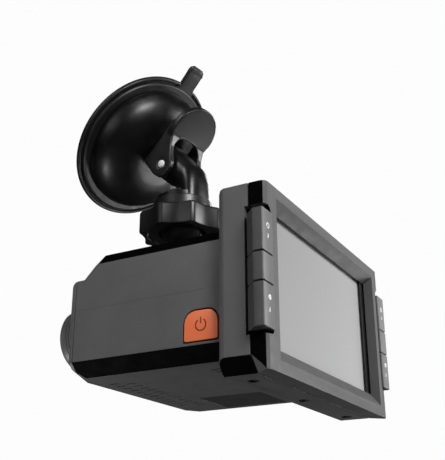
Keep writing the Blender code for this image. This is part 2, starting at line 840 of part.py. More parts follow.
def make_electronics(device):
    make_main_board(device)
    make_card(device)
    make_inlet(device)
    make_speaker(device)
    make_radar_horn(device)
    block_part("camera_board", device, BOARD_LOOK, *CAMERA_BOARD)
    block_part("backup_battery", device, ((0.2, 0.22, 0.45), 0.4), *BATTERY)
    block_part("gps_antenna", device, ((0.55, 0.45, 0.3), 0.6), *ANTENNA)


def make_speaker(device):
    points = in_metres(SPEAKER_PROFILE)
    smooth(turned("speaker", points, device, (CHARCOAL, 0.5), 24, (*SPEAKER_XY, 0)))


def make_radar_horn(device):
    """A pyramid horn that opens towards the windshield."""
    low, high = (Vector(corner) for corner in HORN)
    body = block_part("radar_horn", device, STEEL_LOOK, low, high)
    mouth_low = (low.x + HORN_WALL, HORN_THROAT_Y, low.z + HORN_WALL)
    mouth_high = (high.x - HORN_WALL, high.y + MM, high.z - HORN_WALL)
    bm = block_bmesh(mouth_low, mouth_high)
    centre = (low + high) / 2
    for vert in bm.verts:
        if vert.co.y < centre.y:
            vert.co.x = centre.x + (vert.co.x - centre.x) * HORN_THROAT_SHARE
            vert.co.z = centre.z + (vert.co.z - centre.z) * HORN_THROAT_SHARE
    cut(body, mesh_from(bm, "horn_mouth"))


# ---------------------------------------------------------- dock and ball

def make_dock(device):
    """Rails on the roof and the shoe that slides in them, with its ball stem."""
    base = BODY_Z[1] + GAP
    floor = base + RAIL_FLOOR
    back = NUT_Y - RAIL_SHIFT - RAIL_LENGTH / 2
    front = back + RAIL_LENGTH
    stop = front - RAIL_STOP
    throat = SHOE_HALF - RAIL_LIP
    slot = SHOE_HALF + GAP
    low = (NUT_X - RAIL_HALF, back, base)
    high = (NUT_X + RAIL_HALF, front, base + RAIL_H)
    rails = block_part("dock_rail", device, (CHARCOAL, 0.45), low, high)
    slot_high = (NUT_X + slot, stop, floor + SHOE_T + 2 * GAP)
    cut(rails, block((NUT_X - slot, back - MM, floor), slot_high))
    throat_low = (NUT_X - throat - GAP, back - MM, floor)
    cut(rails, block(throat_low, (NUT_X + throat + GAP, stop, FAR)))

    low = (NUT_X - SHOE_HALF, back + MM, floor + GAP)
    high = (NUT_X + SHOE_HALF, stop - GAP, floor + GAP + SHOE_T)
    shoe = block_part("mount_shoe", device, (CHARCOAL, 0.35), low, high)
    neck_top = base + NECK_TOP
    neck_low = (NUT_X - throat, low[1] + MM, floor + MM)
    add(shoe, block(neck_low, (NUT_X + throat, high[1] - 2 * MM, neck_top)))
    cone = rod(STEM_FOOT_R, neck_top - 0.5 * MM, neck_top + 3 * MM, sides=24, far_radius=STEM_R)
    add(shoe, cone, (NUT_X, NUT_Y, 0))
    stem = rod(STEM_R, neck_top, BALL_Z - BALL_R - GAP, sides=24)
    add(shoe, stem, (NUT_X, NUT_Y, 0))
    smooth(shoe)


def make_ball(device):
    bm = bmesh.new()
    bmesh.ops.create_uvsphere(bm, u_segments=24, v_segments=16, radius=BALL_R)
    mesh = mesh_from(bm, "ball")
    return smooth(part_of(mesh, "ball", device, (CHARCOAL, 0.3), (NUT_X, NUT_Y, BALL_Z)))


def nut_outline():
    """Eight lobes with shallow scallops between them."""
    found = []
    for lobe in range(NUT_LOBES):
        angle = 360 / NUT_LOBES * lobe
        for turn in (-NUT_SPREAD, 0, NUT_SPREAD):
            found.append((NUT_TIP_R, angle + turn))
        middle = angle + 180 / NUT_LOBES
        for step, radius in enumerate(NUT_DIP_RS, -1):
            found.append((radius, middle + step * NUT_DIP_SPREAD))
    return [(r * math.cos(math.radians(a)), r * math.sin(math.radians(a))) for r, a in found]


def make_nut(nut_frame):
    low, high = NUT_Z
    obj = part_of(slab(nut_outline(), low, high), "locking_nut", nut_frame, (CHARCOAL, 0.3))
    edge = 0.5 * MM
    add(obj, rod(COLLAR_R, high - edge, COLLAR_TOP - edge, sides=40))
    chamfer = rod(COLLAR_R, COLLAR_TOP - 0.6 * MM, COLLAR_TOP, sides=40, far_radius=COLLAR_R - edge)
    add(obj, chamfer)
    cut(obj, rod(COLLET_R + GAP, low + NUT_LIP, COLLAR_TOP + MM, sides=40))
    cut(obj, rod(BALL_R + 0.4 * MM, low - MM, low + 2 * MM, sides=32))
    return smooth(obj)


# ------------------------------------------------------------------ arm

def in_mount(v, h):
    """(forward, up) in the mount frame of a point up the glass by v and off it by h."""
    forward = -v * math.sin(CUP_TILT) - h * math.cos(CUP_TILT)
    up = v * math.cos(CUP_TILT) - h * math.sin(CUP_TILT)
    return forward, up


def make_arm(mount):
    """Elbow from the dome's hub down to the slotted collet that holds the ball."""
    axis_y = -CUP_REACH
    drop = -CUP_HEIGHT
    shoulder = DOME_TOP + GAP
    rear_foot = in_mount(8.2 * MM, shoulder)
    front_foot = in_mount(-5.0 * MM, shoulder)
    front_knee = in_mount(-5.0 * MM, 25.5 * MM)
    outline = [
        rear_foot,
        in_mount(8.2 * MM, 28.5 * MM),
        (axis_y - 7.9 * MM, drop + 90.3 * MM),
        (axis_y - 9.5 * MM, drop + 87.4 * MM),
        (axis_y - 10.1 * MM, drop + 84.0 * MM),
        (axis_y - 10.1 * MM, drop + COLLAR_TOP + GAP),
        (axis_y - 2.6 * MM, drop + COLLAR_TOP + GAP),
        (axis_y - 2.6 * MM, drop + 80.5 * MM),
        (axis_y - 1.4 * MM, drop + 83.6 * MM),
        (axis_y + 1.4 * MM, drop + 86.2 * MM),
        front_knee,
        front_foot,
    ]
    elbow = slab(outline, -HUB_HALF, HUB_HALF, "X")
    obj = part_of(elbow, "mount_arm", mount, (BLACK, 0.15))
    round_edges(obj, 5.6 * MM, 4, elbow_rounding)
    low, high = (drop + z for z in COLLET_Z)
    ring = [
        (COLLET_R - COLLET_WALL, high),
        (COLLET_R, high),
        (COLLET_R, low),
        (COLLET_R - COLLET_WALL, low),
    ]
    sleeve = turned("collet_sleeve", ring, mount, None, 40, (0, axis_y, 0))
    boolean(obj, sleeve, "UNION")
    crown_low = drop + BALL_Z + BALL_R + 1.2 * MM
    crown = rod(COLLET_R - COLLET_WALL / 2, crown_low, drop + CROWN_TOP, sides=40)
    add(obj, crown, (0, axis_y, 0))
    filling = rod(COLLET_R - COLLET_WALL + 0.2 * MM, drop + COLLAR_TOP + 0.2 * MM, drop + 78.4 * MM, sides=40)
    add(obj, filling, (0, axis_y, 0))
    bm = bmesh.new()
    bmesh.ops.create_uvsphere(bm, u_segments=32, v_segments=20, radius=BALL_R + GAP)
    cut(obj, mesh_from(bm, "socket"), (0, axis_y, drop + BALL_Z))
    half = COLLET_SLOT / 2
    top = drop + COLLET_SLOT_TOP
    cut(obj, block((-FAR, -half, low - MM), (FAR, half, top)), (0, axis_y, 0))
    cut(obj, block((-half, -FAR, low - MM), (half, FAR, top)), (0, axis_y, 0))
    return smooth(obj)


def elbow_rounding(first, last):
    """Full on the elbow's outer side, a quarter on its inner side, none at its two ends."""
    across = abs(first.x - last.x) > MM
    if across or max(first.z, last.z) < -CUP_HEIGHT + COLLAR_TOP + MM:
        return 0
    foot = Vector(in_mount(0, DOME_TOP + GAP))
    towards_glass = Vector((math.cos(CUP_TILT), math.sin(CUP_TILT)))
    if all((Vector(point.yz) - foot).dot(towards_glass) > -MM for point in (first, last)):
        return 0
    outer = all(point.y < -CUP_REACH - 5 * MM and point.z < foot.y for point in (first, last))
    return 1 if outer else 0.25


def bore_arm_hub(arm, cup):
    """The bore for the plunger and the slots that the lever's pin moves in."""
    bore = rod(BORE_R, DOME_TOP - MM, BORE_TOP, sides=24)
    boolean(arm, cutter_of(bore, "hub_bore", cup, (0, PIN_V, 0)), "DIFFERENCE")
    half = PIN_R + 0.4 * MM
    upper_end = arc((PIN_V, PIN_H + 0.6 * MM), half, 0, 180, 6)
    lower_end = arc((PIN_V, PIN_H - PLUNGER_TRAVEL), half, 180, 360, 6)
    slot = cutter_of(slab(upper_end + lower_end, -FAR, FAR, "X"), "hub_slot", cup)
    boolean(arm, slot, "DIFFERENCE")


# ------------------------------------------------------------------ cup

def make_housing(cup):
    """The rigid dome behind the rubber, with a bore for the plunger."""
    outside = [(11.0, 13.8), (15.0, 12.9), (19.0, 11.0), (22.2, 8.4), (24.2, 5.4), (24.9, 2.6)]
    inside = [(22.8, 2.6), (22.2, 5.0), (20.4, 7.2), (17.4, 9.2), (13.6, 10.6), (10.0, 11.2)]
    profile = [(BORE_R, DOME_TOP), *in_metres(outside + inside), (BORE_R, 11.2 * MM)]
    return smooth(turned("cup_housing", profile, cup, (BLACK, 0.12), 48))


def make_suction_cup(cup):
    """The rubber disc, flat against the glass, with a pull tab at its upper edge."""
    # inward from the rim, off the glass
    steps = [(5.4, 2.3), (3.1, 2.2), (2.3, 1.5), (1.6, 1.5), (1.0, 1.9), (0.3, 1.6), (0, 0.9), (0, 0)]
    points = [(CUP_R - inward * MM, height * MM) for inward, height in steps]
    profile = [(0, points[0][1]), *points, (0, 0)]
    obj = turned("suction_cup", profile, cup, ((0.02, 0.02, 0.02), 0.5), 64)
    corners = [(-3.6, 28, 0), (5.4, 28, 0), (5.8, 38.6, 2.6), (-2.6, 38.6, 2.6)]
    tab = rounded([mm(*corner) for corner in corners])
    add(obj, slab(tab, *TAB_H))
    return smooth(obj)


def make_plunger(plunger_frame):
    """Disc, stem and eye that the lever pulls on."""
    profile = [(0, 26.9), (2.9, 26.9), (2.9, 8.4), (9.0, 7.2), (9.0, 5.6), (0, 5.6)]
    obj = turned("plunger", in_metres(profile), plunger_frame, (CHARCOAL, 0.4), 24)
    cut(obj, rod(PIN_R + 0.12 * MM, -FAR, FAR, "X", 16), (0, 0, PIN_H))
    return smooth(obj)


def make_pin(plunger_frame):
    half = CHEEK_OUT + 0.35 * MM
    mesh = rod(PIN_R, -half, half, "X", 16)
    return smooth(part_of(mesh, "lever_pin", plunger_frame, ((0.8, 0.8, 0.8), 0.25), (0, 0, PIN_H)))


def cheek_outline():
    """The cam cheek seen from the side, about the pin: (up the glass, off it)."""
    nose = arc((0, 0), 5.1 * MM, 190, 20, 6)
    cam_side = [(18.6, -5.9), (16.0, -7.8), (10.0, -8.2), (2.4, -8.6), (-2.6, -9.2), (-3.4, -8.6)]
    back = [(8.0, -1.2), (12.0, -3.4), (18.6, -3.4)]
    return [*in_metres(cam_side), *nose, *in_metres(back)]


def make_lever(lever_frame):
    """Two cam cheeks joined by a round thumb paddle with an arch for the arm."""
    cheeks = slab(cheek_outline(), -CHEEK_OUT, CHEEK_OUT, "X")
    obj = part_of(cheeks, "cam_lever", lever_frame, (BLACK, 0.3))
    paddle_v = PADDLE_V - PIN_V
    low, high = (h - PIN_H for h in PADDLE_H)
    add(obj, rod(PADDLE_R, low, high, sides=40), (0, paddle_v, 0))
    throat = ARCH_TOP - PIN_V
    open_end = -8 * MM
    corners = [
        (-CHEEK_IN, open_end, 0),
        (CHEEK_IN, open_end, 0),
        (CHEEK_IN, throat, ARCH_RADIUS),
        (-CHEEK_IN, throat, ARCH_RADIUS),
    ]
    cut(obj, slab(rounded(corners), -FAR, FAR))
    cut(obj, block((-CHEEK_IN, -FAR, -FAR), (CHEEK_IN, FAR, low)))
    cut(obj, rod(PIN_R + GAP, -FAR, FAR, "X", 16))
    return smooth(obj)


# ----------------------------------------------------------------- whole

def make_mount(mount, cup):
    make_housing(cup)
    make_suction_cup(cup)
    plunger_frame = make_frame("plunger_frame", (0, PIN_V, 0), parent=cup)
    make_plunger(plunger_frame)
    make_pin(plunger_frame)
    lever_frame = make_frame("lever_frame", (0, 0, PIN_H), parent=plunger_frame)
    make_lever(lever_frame)
    arm = make_arm(mount)
    bore_arm_hub(arm, cup)
    nut_frame = make_frame("nut_frame", (0, -CUP_REACH, -CUP_HEIGHT), parent=mount)
    make_nut(nut_frame)


def make_device(device):
    make_front_bezel(device)
    make_rear_shell(device)
    make_case_screws(device)
    make_screen(device)
    make_corner_buttons(device)
    make_upper_shell(device)
    make_lower_shell(device)
    make_label_plate(device)
    make_power_button(device)
    make_front_cover(device)
    make_radar_window(device)
    make_lens(device)
    make_electronics(device)
    make_dock(device)
    make_ball(device)


def main():
    clear_scene()
    mount = make_frame("mount_frame", (0, 0, 0), (0, 0, -ARM_YAW))
    cup = make_frame("cup_frame", (0, 0, 0), (math.pi / 2 + CUP_TILT, 0, 0), mount)
    nut_axis = Matrix.Rotation(-ARM_YAW, 3, "Z") @ Vector((0, -CUP_REACH, -CUP_HEIGHT))
    device = make_frame("device_frame", nut_axis - Vector((NUT_X, NUT_Y, 0)))
    make_mount(mount, cup)
    make_device(device)
    bpy.context.view_layer.update()


main()
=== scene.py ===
"""Looks for the radar detector: finer meshes, procedural materials, studio light and camera."""

import json
import math

import bmesh
import bpy
from mathutils import Matrix, Vector


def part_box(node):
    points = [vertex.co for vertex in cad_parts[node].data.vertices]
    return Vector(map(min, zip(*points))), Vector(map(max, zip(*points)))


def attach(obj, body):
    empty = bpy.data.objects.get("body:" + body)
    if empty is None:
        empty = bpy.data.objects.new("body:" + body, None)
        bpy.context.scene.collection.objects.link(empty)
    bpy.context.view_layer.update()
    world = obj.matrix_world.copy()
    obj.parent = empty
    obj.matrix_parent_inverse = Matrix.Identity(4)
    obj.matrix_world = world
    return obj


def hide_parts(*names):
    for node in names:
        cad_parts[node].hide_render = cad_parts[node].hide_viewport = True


MM = 0.001
ACROSS, ALONG, UP = Vector((1, 0, 0)), Vector((0, 1, 0)), Vector((0, 0, 1))
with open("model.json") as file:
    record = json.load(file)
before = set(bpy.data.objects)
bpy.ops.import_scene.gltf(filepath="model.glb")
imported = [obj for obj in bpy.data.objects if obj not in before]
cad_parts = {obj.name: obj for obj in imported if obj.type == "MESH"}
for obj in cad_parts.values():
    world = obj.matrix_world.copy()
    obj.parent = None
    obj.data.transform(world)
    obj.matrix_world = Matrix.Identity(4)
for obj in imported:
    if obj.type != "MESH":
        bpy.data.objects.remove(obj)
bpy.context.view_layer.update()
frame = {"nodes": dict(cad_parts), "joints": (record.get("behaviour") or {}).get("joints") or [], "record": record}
scene = bpy.context.scene

# Places taken from the frame
record = frame["record"]
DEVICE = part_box("front_bezel")[0]
JOINTS = {joint["name"]: joint for joint in frame["joints"]}
BODY_OF = {node: body for body, nodes in record["behaviour"]["bodies"].items() for node in nodes}
MOUNTS = {mount["name"]: mount for mount in record["mounts"]}


def cup_frame():
    """X along the lever's axis, Z off the windshield, at the sealing face's centre."""
    across = Vector(JOINTS["lever_hinge"]["axis"]).normalized()
    off_glass = -Vector(MOUNTS["windshield_face"]["axis"]).normalized()
    upward = off_glass.cross(across).normalized()
    rotation = Matrix((across, upward, off_glass)).transposed().to_4x4()
    return Matrix.Translation(MOUNTS["windshield_face"]["pos_m"]) @ rotation


CUP = cup_frame()
SEAM_Z = (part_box("upper_shell")[0].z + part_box("lower_shell")[1].z) / 2
BALL_CENTRE = Vector(JOINTS["ball_pan"]["pos_m"])
PIN_CENTRE = CUP.inverted() @ Vector(JOINTS["lever_hinge"]["pos_m"])


# ------------------------------------------------------------ materials

# Noise in features per metre, and where its ramps start and end
TONE_SCALE, GLOSS_SCALE, GRAIN_SCALE, FILM_SCALE = 90, 260, 4200, 700
NOISE_LOW, NOISE_HIGH = 0.3, 0.7
GLOSS_DRIFT, SHINIEST, COAT_ROUGHNESS = 0.12, 0.02, 0.06
GRAIN_DEPTH = 0.05 * MM
# Screen greys: painted light, darker at the upper left and paler towards the lower right
SCREEN_DARK, SCREEN_PALE, SCREEN_PALE_AT = (0.25, 0.25, 0.254), (0.40, 0.40, 0.404), 0.85
FILM_SHINY, FILM_DULL, FILM_SPECULAR = 0.50, 0.56, 0.3


def node_tree(name):
    material = bpy.data.materials.new(name)
    material.use_nodes = True
    tree = material.node_tree
    return material, tree, tree.nodes["Principled BSDF"]


def link(tree, source, output, target, socket):
    tree.links.new(source.outputs[output], target.inputs[socket])


def noise(tree, scale, detail):
    """Noise over the object's own coordinates, in features per metre."""
    place = tree.nodes.new("ShaderNodeTexCoord")
    found = tree.nodes.new("ShaderNodeTexNoise")
    found.inputs["Scale"].default_value = scale
    found.inputs["Detail"].default_value = detail
    link(tree, place, "Object", found, "Vector")
    return found


def noisy(tree, scale, detail, low, high):
    """A colour that drifts between low and high with the noise."""
    found = noise(tree, scale, detail)
    return ramp(tree, found, "Fac", [(NOISE_LOW, low), (NOISE_HIGH, high)])


def ramp(tree, source, output, stops):
    found = tree.nodes.new("ShaderNodeValToRGB")
    link(tree, source, output, found, "Fac")
    elements = found.color_ramp.elements
    for index, (position, colour) in enumerate(stops):
        element = elements[index] if index < 2 else elements.new(position)
        element.position = position
        element.color = (*colour, 1.0)
    return found


def shade(colour, share):
    return tuple(min(1.0, value * share) for value in colour)


def plastic(name, colour, roughness, grain=0.0, coat=0.0, variation=0.08, metallic=0.0, specular=0.5):
    """Moulded plastic: a fine spark-eroded grain, uneven gloss and faint tone changes."""
    material, tree, shader = node_tree(name)
    tone = noisy(tree, TONE_SCALE, 4, shade(colour, 1 - variation), shade(colour, 1 + variation))
    link(tree, tone, "Color", shader, "Base Color")
    shiny = max(SHINIEST, roughness * (1 - GLOSS_DRIFT))
    dull = min(1.0, roughness * (1 + GLOSS_DRIFT))
    gloss = noisy(tree, GLOSS_SCALE, 5, (shiny,) * 3, (dull,) * 3)
    link(tree, gloss, "Color", shader, "Roughness")
    shader.inputs["Metallic"].default_value = metallic
    shader.inputs["Specular IOR Level"].default_value = specular
    if coat:
        shader.inputs["Coat Weight"].default_value = coat
        shader.inputs["Coat Roughness"].default_value = COAT_ROUGHNESS
    if grain:
        pits = noise(tree, GRAIN_SCALE, 2)
        bump = tree.nodes.new("ShaderNodeBump")
        bump.inputs["Strength"].default_value = grain
        bump.inputs["Distance"].default_value = GRAIN_DEPTH
        link(tree, pits, "Fac", bump, "Height")
        link(tree, bump, "Normal", shader, "Normal")
    return material


def map_range(tree, source, output, start, end):
    """Runs from 0 to 1 between two values of the source."""
    found = tree.nodes.new("ShaderNodeMapRange")
    found.inputs["From Min"].default_value = start
    found.inputs["From Max"].default_value = end
    link(tree, source, output, found, "Value")
    return found


def screen_glass(name, low, high):
    """An unlit screen: pale grey, with painted light making it a little brighter towards its lower right corner.
    """
    material, tree, shader = node_tree(name)
    place = tree.nodes.new("ShaderNodeTexCoord")
    split = tree.nodes.new("ShaderNodeSeparateXYZ")
    link(tree, place, "Object", split, "Vector")
    height = high.z - low.z
    across = map_range(tree, split, "X", low.x, high.x)
    down = map_range(tree, split, "Z", high.z, low.z - height)
    total = tree.nodes.new("ShaderNodeMath")
    total.operation = "ADD"
    link(tree, across, "Result", total, 0)
    link(tree, down, "Result", total, 1)
    half = tree.nodes.new("ShaderNodeMath")
    half.operation = "MULTIPLY"
    half.inputs[1].default_value = 0.5
    link(tree, total, "Value", half, 0)
    # Painted light: the grey runs from the darker tone to the paler one
    tint = ramp(tree, half, "Value", [(0.0, SCREEN_DARK), (SCREEN_PALE_AT, SCREEN_PALE)])
    link(tree, tint, "Color", shader, "Base Color")
    gloss = noisy(tree, FILM_SCALE, 3, (FILM_SHINY,) * 3, (FILM_DULL,) * 3)
    link(tree, gloss, "Color", shader, "Roughness")
    shader.inputs["Specular IOR Level"].default_value = FILM_SPECULAR
    return material


BODY_GREY = (0.105, 0.105, 0.107)
LOOKS = {
    "body": plastic("body_plastic", BODY_GREY, 0.52, grain=0.35),
    "bezel": plastic("bezel_plastic", (0.095, 0.095, 0.097), 0.55, grain=0.2, specular=0.3),
    # Near-black painted shade for the long slanted edges, the bezel's sides and the screws' crosses
    "trim": plastic("black_trim", (0.001, 0.001, 0.001), 0.6, variation=0.3, specular=0.02),
    "key": plastic("key_plastic", (0.18, 0.18, 0.183), 0.5, grain=0.15, specular=0.3),
    # Painted shade: a darker copy of the key grey for the keys' sides
    "painted_shade_key_side": plastic("painted_shade_key_side_plastic", (0.06, 0.06, 0.062), 0.45, grain=0.15),
    "orange": plastic("orange_plastic", (1.0, 0.22, 0.085), 0.42, grain=0.2, variation=0.04),
    "mark": plastic("white_print", (0.85, 0.85, 0.85), 0.6, variation=0.03),
    "power_mark": plastic("power_print", (0.16, 0.02, 0.008), 0.6, variation=0.05),
    "gloss": plastic("gloss_black", (0.002, 0.002, 0.0022), 0.36, variation=0.1, specular=0.45),
    "satin": plastic("satin_black", (0.010, 0.010, 0.0105), 0.36, grain=0.1),
    "arm": plastic("arm_black", (0.005, 0.005, 0.0052), 0.32, grain=0.05, variation=0.1, specular=0.45),
    "rubber": plastic("cup_rubber", (0.010, 0.010, 0.0102), 0.42, grain=0.2),
    "pin": plastic("pin_white", (0.86, 0.86, 0.86), 0.3, grain=0.05, variation=0.03),
    "barrel": plastic("barrel_plastic", (0.16, 0.16, 0.162), 0.4, grain=0.15),
    "window": plastic("smoked_window", (0.005, 0.004, 0.005), 0.08, coat=0.6),
    "lens": plastic("coated_glass", (0.012, 0.010, 0.035), 0.05, coat=1.0),
    "ring": plastic("anodised_ring", (0.30, 0.30, 0.31), 0.3, grain=0.1, variation=0.05, metallic=1.0),
    "steel": plastic("plated_steel", (0.50, 0.50, 0.51), 0.28, grain=0.1, metallic=1.0),
    "screw": plastic("blackened_steel", (0.03, 0.03, 0.032), 0.35, grain=0.2, variation=0.1, metallic=0.8),
    "board": plastic("solder_mask", (0.01, 0.09, 0.035), 0.35, grain=0.3, coat=0.2, variation=0.15),
    "ceramic": plastic("patch_ceramic", (0.50, 0.40, 0.26), 0.6, grain=0.2),
    "cell": plastic("cell_sleeve", (0.12, 0.14, 0.36), 0.4, grain=0.1),
    "label": plastic("label_film", (0.035, 0.035, 0.036), 0.55, grain=0.4),
}
PANEL_LOW, PANEL_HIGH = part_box("lcd_panel")
LOOKS["screen"] = screen_glass("screen_film", PANEL_LOW, PANEL_HIGH)

CAD_LOOKS = {
    "lcd_panel": "screen",
    "screen_mask": "gloss",
    "backlight_tray": "steel",
    "display_board": "board",
    "main_board": "board",
    "camera_board": "board",
    "radar_horn": "steel",
    "gps_antenna": "ceramic",
    "backup_battery": "cell",
    "speaker": "satin",
    "card_socket": "steel",
    "memory_card": "satin",
    "power_inlet": "steel",
    "label_plate": "label",
    "radar_window": "window",
    "lens_ring": "ring",
    "lens_glass": "lens",
    "plunger": "satin",
}


def dress_cad_nodes():
    for name, look in CAD_LOOKS.items():
        node = frame["nodes"][name]
        node.data.materials.clear()
        node.data.materials.append(LOOKS[look])


# --------------------------------------------------------------- pieces

def settle(piece, node, smooth_angle=35):
    """Puts a finished piece on its node's body, in that node's place."""
    piece.data.shade_smooth()
    piece.data.set_sharp_from_angle(angle=math.radians(smooth_angle))
    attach(piece, BODY_OF[node])
    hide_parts(node)
    return piece


def new_piece(name, bm, look):
    mesh = bpy.data.meshes.new(name)
    bm.to_mesh(mesh)
    bm.free()
    mesh.materials.append(LOOKS[look])
    piece = bpy.data.objects.new(name, mesh)
    scene.collection.objects.link(piece)
    return piece


WELD_DISTANCE = 1e-6
FLAT_ANGLE = math.radians(0.6)
CORNER_ANGLE = math.radians(28)
SEAM_REACH = 0.2 * MM


def node_mesh(node):
    """A copy of the node's mesh, with its doubled vertices joined."""
    bm = bmesh.new()
    bm.from_mesh(frame["nodes"][node].data)
    bmesh.ops.remove_doubles(bm, verts=bm.verts, dist=WELD_DISTANCE)
    return bm


def refined(node, look, width, segments=2, trim=None, close_seam=0.0):
    """The node's own form with softened edges, and painted shade, a second darker material, on the faces that the
    given test picks.
    """
    bm = node_mesh(node)
    bmesh.ops.dissolve_limit(bm, angle_limit=FLAT_ANGLE, verts=bm.verts, edges=bm.edges)
    for vert in bm.verts:
        if abs(vert.co.z - SEAM_Z) < SEAM_REACH:
            vert.co.z += close_seam
    bm.normal_update()
    # Faces that the test picks get the second material, painted shade
    for face in bm.faces:
        face.material_index = int(bool(trim and trim(face)))
    piece = new_piece(node + "_piece", bm, look)
    # The second material: near-black painted shade
    piece.data.materials.append(LOOKS["trim"])
    bevel = piece.modifiers.new("soft_edges", "BEVEL")
    bevel.width = width
    bevel.segments = segments
    bevel.limit_method = "ANGLE"
    bevel.angle_limit = CORNER_ANGLE
    bevel.harden_normals = True
    return settle(piece, node)


def melted(node, look, grain, rounds):
    """The node's form with its corners flowing into each other, as moulded parts do."""
    piece = new_piece(node + "_piece", node_mesh(node), look)
    remesh = piece.modifiers.new("even_grid", "REMESH")
    remesh.mode = "VOXEL"
    remesh.voxel_size = grain
    remesh.use_smooth_shade = True
    relax = piece.modifiers.new("relax", "SMOOTH")
    relax.factor = 0.5
    relax.iterations = rounds
    return settle(piece, node, 180)


def skin(bm, rings, around=False):
    """Faces between neighbouring rings: closed on itself when around is set, else capped."""
    for first, second in zip(rings, rings[1:] + (rings[:1] if around else [])):
        for index in range(len(first)):
            after = (index + 1) % len(first)
            bm.faces.new((first[index], first[after], second[after], second[index]))
    if not around:
        bm.faces.new(rings[0][::-1])
        bm.faces.new(rings[-1])
    bmesh.ops.recalc_face_normals(bm, faces=bm.faces)


def squared(value, power):
    """Pushes a sine or cosine towards a squarer outline, the more so the smaller the power."""
    return math.copysign(abs(value) ** power, value)


def turned(name, profile, look, node, matrix, steps=128):
    """A closed profile of (radius, height) points turned about the matrix's Z axis."""
    bm = bmesh.new()
    rings = []
    for radius, height in profile:
        if radius <= 0:
            rings.append([bm.verts.new((0, 0, height))])
            continue
        ring = []
        for index in range(steps):
            angle = 2 * math.pi * index / steps
            ring.append(bm.verts.new((radius * math.cos(angle), radius * math.sin(angle), height)))
        rings.append(ring)
    pairs = list(zip(rings, rings[1:]))
    if profile[0][0] > 0:
        pairs.append((rings[-1], rings[0]))
    for first, second in pairs:
        for index in range(steps):
            after = (index + 1) % steps
            if len(first) == 1:
                bm.faces.new((first[0], second[index], second[after]))
            elif len(second) == 1:
                bm.faces.new((first[index], second[0], first[after]))
            else:
                bm.faces.new((first[index], second[index], second[after], first[after]))
    bmesh.ops.recalc_face_normals(bm, faces=bm.faces)
    bm.transform(matrix)
    return settle(new_piece(name, bm, look), node)


def eased(points, steps):
    """A smooth curve through the points, by Catmull-Rom."""
    found = []
    for index in range(len(points) - 1):
        before = Vector(points[max(index - 1, 0)])
        start = Vector(points[index])
        end = Vector(points[index + 1])
        after = Vector(points[min(index + 2, len(points) - 1)])
        for step in range(steps):
            t = step / steps
            found.append(
                0.5
                * (
                    2 * start
                    + (end - before) * t
                    + (2 * before - 5 * start + 4 * end - after) * t * t
                    + (3 * start - before - 3 * end + after) * t * t * t
                )
            )
    found.append(Vector(points[-1]))
    return [tuple(point) for point in found]


def in_mm(points):
    return [(first * MM, second * MM) for first, second in points]


# ---------------------------------------------------------- suction mount

# Radii and heights of the turned parts in millimetres
CUP_R = 30.0
DISC_TOP, DISC_FLAT_R = 2.3, 24.6
DOME_TOP, DOME_INSIDE, DOME_HOLE_R = 13.8, 11.2, 4.0
PIN_R, PIN_INSET = 1.5, 0.2
SOCKET_R, SLEEVE_LOW = 8.82, -2.7
BALL_R = 8.5 * MM


def make_rubber():
    """The disc: thin rim, groove, raised lip, then a flat ring under the dome."""
    outer = [
        (CUP_R, 0.0),
        (CUP_R + 0.05, 0.6),
        (CUP_R - 0.25, 1.35),
        (CUP_R - 0.7, 1.55),
        (CUP_R - 1.15, 1.35),
        (CUP_R - 1.5, 0.75),
        (CUP_R - 1.85, 0.8),
        (CUP_R - 2.1, 1.7),
        (CUP_R - 2.6, 2.25),
        (CUP_R - 3.3, DISC_TOP),
        (DISC_FLAT_R, DISC_TOP),
    ]
    profile = [(0, DISC_TOP)] + eased(outer[::-1], 4) + [(0, 0)]
    turned("rubber_disc", in_mm(profile), "rubber", "suction_cup", CUP)
    make_pull_tab()


# Pull tab, in the cup's frame: across the lever's axis, up the glass, then its own form
TAB_X = (-2.6 * MM, 5.4 * MM)
TAB_V = (26.5 * MM, 38.5 * MM)
TAB_HEIGHT = 1.0 * MM
TAB_THICK = 0.75 * MM
TAB_ROUND = 2.6 * MM
TAB_FLARE = 0.35
TAB_END_WIDTH = 0.55
GRIP_RISE = 0.25 * MM
GRIP_BACK = 2.2 * MM
GRIP_LENGTH = 1.2 * MM
TAB_SECTIONS, TAB_CORNERS = 14, 16


def make_pull_tab():
    """The tongue at the rim's top, with a raised grip at its end."""
    middle, half = (TAB_X[0] + TAB_X[1]) / 2, (TAB_X[1] - TAB_X[0]) / 2
    root, tip = TAB_V
    bm = bmesh.new()
    sections = []
    for index in range(TAB_SECTIONS + 1):
        share = index / TAB_SECTIONS
        v = root + (tip - root) * share
        end = max(0.0, (v - (tip - TAB_ROUND)) / TAB_ROUND)
        flare = 1.0 + TAB_FLARE * max(0.0, 1 - share * 3) ** 2
        rounding = math.sqrt(max(0.0, 1 - end * end))
        width = half * flare * (TAB_END_WIDTH + (1 - TAB_END_WIDTH) * rounding)
        thick = TAB_THICK + GRIP_RISE * math.exp(-(((v - tip + GRIP_BACK) / GRIP_LENGTH) ** 2))
        ring = []
        for corner in range(TAB_CORNERS):
            angle = 2 * math.pi * corner / TAB_CORNERS
            x = squared(math.cos(angle), 0.35) * width
            z = squared(math.sin(angle), 0.6) * thick
            ring.append(bm.verts.new((middle + x, v, TAB_HEIGHT + z)))
        sections.append(ring)
    skin(bm, sections)
    bm.transform(CUP)
    tab = new_piece("pull_tab", bm, "rubber")
    tab.data.shade_smooth()
    tab.data.set_sharp_from_angle(angle=math.radians(50))
    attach(tab, "windshield_mount")


